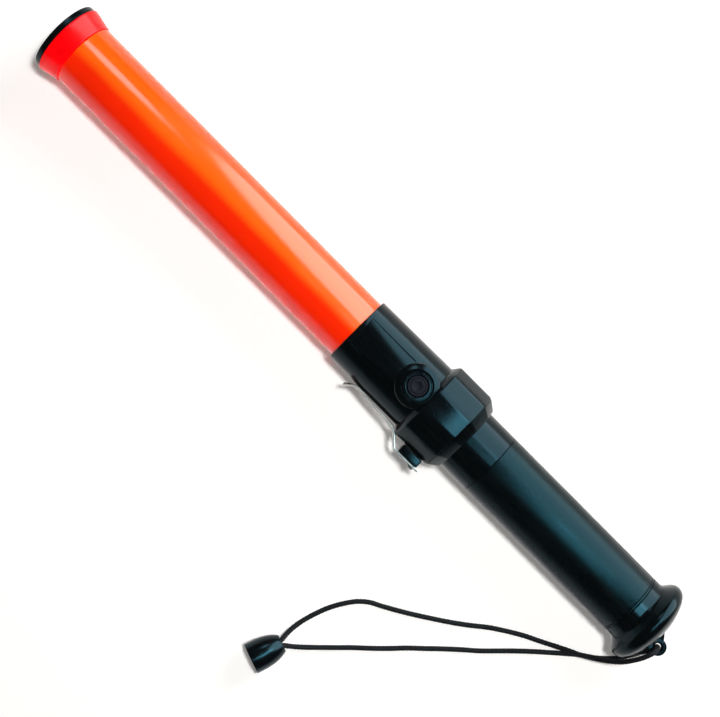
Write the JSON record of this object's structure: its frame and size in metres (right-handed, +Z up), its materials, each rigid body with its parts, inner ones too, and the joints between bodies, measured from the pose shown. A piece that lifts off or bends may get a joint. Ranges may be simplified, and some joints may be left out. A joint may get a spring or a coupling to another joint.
{
  "type": "led traffic baton",
  "caption": "Handheld LED traffic baton: orange light tube with a flared red tip, push-button head, belt clip, battery handle with screwed tail cap and wrist lanyard.",
  "frame": {"origin": "the middle of the collar's bottom facet, on the surface that the baton lies on", "axes": "+X runs along the baton from the light tube's tip to the tail cap, +Z is up and is the button's side, -Y is the side of the belt clip and the lanyard"},
  "size_m": [0.5397, 0.2256, 0.0584],
  "materials": {
    "light_tube": "translucent orange-red tube",
    "end_cap": "glossy translucent red",
    "black_plastic": "black moulded plastic, satin",
    "grip_rubber": "fine grained black rubber",
    "black_rubber": "soft black rubber",
    "white_plastic": "white moulded plastic",
    "board": "green circuit board",
    "red_lens": "clear red LED epoxy",
    "spring_steel": "bright spring steel",
    "brass": "bright brass",
    "cell": null,
    "red_wire": "red wire insulation",
    "black_wire": "black wire insulation",
    "braid": "braided black cord"
  },
  "bodies": {
    "handle": {"light_tube": "light_tube", "end_cap": "end_cap", "tip_plate": "black_plastic", "board_tip_holder": "white_plastic", "led_board": "board", "tube_gasket": "black_rubber", "head_housing": "black_plastic", "neck_ring": "black_plastic", "board_carrier": "white_plastic", "control_board": "board", "control_chip": "black_plastic", "resistor_1": "white_plastic", "resistor_2": "white_plastic", "switch_body": "black_plastic", "button_bezel": "black_plastic", "button_spring": "spring_steel", "handle_tube": "black_plastic", "grip_sleeve": "grip_rubber", "contact_carrier": "white_plastic", "front_contact": "brass", "battery_front": "cell", "battery_rear": "cell", "conductor_strip": "brass", "clip_block": "black_plastic", "clip_screw_1": "spring_steel", "clip_screw_2": "spring_steel", "wire_positive": "red_wire", "wire_light_positive": "red_wire", "wire_negative": "black_wire", "wire_light_negative": "black_wire", "led_1": "red_lens", "led_2": "red_lens", "led_3": "red_lens", "led_4": "red_lens", "led_5": "red_lens", "led_6": "red_lens", "led_7": "red_lens", "led_8": "red_lens"},
    "button": {"button": "black_rubber", "switch_plunger": "white_plastic"},
    "tail_seal": {"tail_gasket": "black_rubber"},
    "tail_cap": {"tail_cap": "black_plastic", "tail_contact": "spring_steel", "tail_spring": "spring_steel", "lanyard_strand_a": "braid", "lanyard_strand_b": "braid", "cord_bell": "black_plastic", "cord_knot": "braid"},
    "belt_clip": {"belt_clip": "spring_steel"}
  },
  "joints": [
    {"name": "button_press", "type": "slide", "parent": "handle", "child": "button", "axis": [0, 0, -1], "range_m": [0, 0.0015], "stiffness_N_per_m": 2000, "deforming": ["button_spring"]},
    {"name": "tail_cap_travel", "type": "slide", "parent": "handle", "child": "tail_seal", "axis": [1, 0, 0], "range_m": [0, 0.0121]},
    {"name": "tail_cap_turn", "type": "hinge", "parent": "tail_seal", "child": "tail_cap", "pos_m": [0.17, 0, 0.0292], "axis": [1, 0, 0], "range_deg": [0, 1440]},
    {"name": "clip_flex", "type": "hinge", "parent": "handle", "child": "belt_clip", "pos_m": [0.0078, -0.0362, 0.0292], "axis": [0, 0, 1], "range_deg": [0, 5], "stiffness_Nm_per_rad": 8}
  ],
  "couplings": [
    {"joint": "tail_cap_travel", "follows": "tail_cap_turn", "m_per_rad": 0.00047746}
  ]
}
